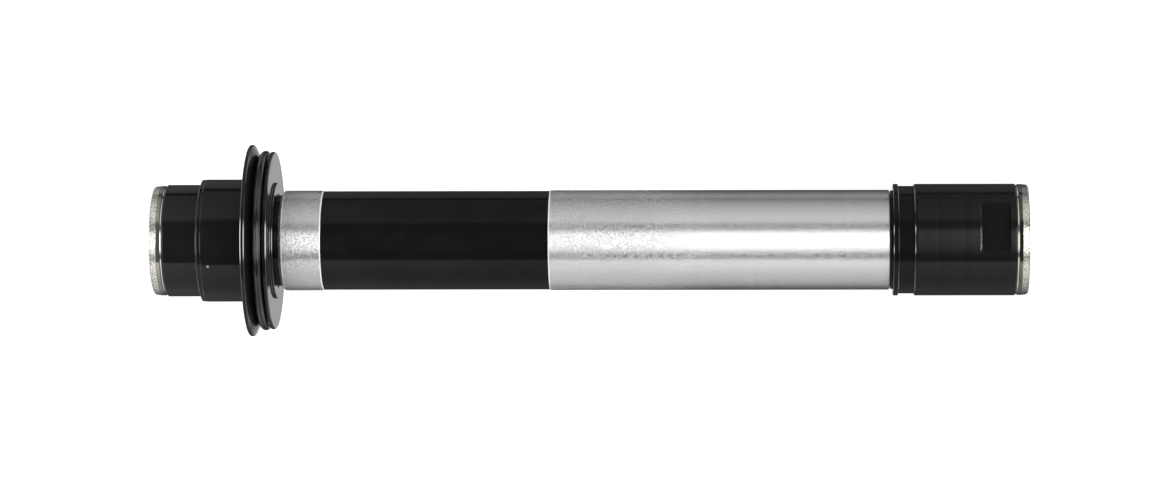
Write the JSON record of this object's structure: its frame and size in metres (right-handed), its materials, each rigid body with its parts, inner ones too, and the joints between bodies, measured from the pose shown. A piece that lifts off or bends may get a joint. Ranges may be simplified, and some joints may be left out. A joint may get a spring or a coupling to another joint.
{
  "type": "rear wheel hub axle assembly",
  "caption": "Hollow rear hub axle with bare bearing seats, an anodised waist, a flanged brake-side cap, a drive-side cap with wrench flats and serrated steel end rings.",
  "frame": {"origin": "centre of the brake-side end face, which the axle stands on", "axes": "+Z along the axle from the brake side to the drive side; -Y towards the side with one of the two wrench flats"},
  "size_m": [0.0326, 0.0326, 0.148],
  "materials": {
    "tube_aluminium": "turned bare bearing seats, with a black anodised waist and spigots",
    "cap_anodised": "gloss black anodised, turned",
    "ring_steel": "nickel plated, serrated end face",
    "seal_rubber": "moulded black rubber"
  },
  "bodies": {
    "root": {"axle_tube": "tube_aluminium", "brake_side_cap": "cap_anodised", "flange_seal_ring": "seal_rubber", "brake_side_end_ring": "ring_steel", "cap_grip_ring_outer": "seal_rubber", "cap_grip_ring_inner": "seal_rubber", "drive_side_cap": "cap_anodised", "drive_side_end_ring": "ring_steel", "drive_cap_seal_ring": "seal_rubber"}
  },
  "joints": []
}
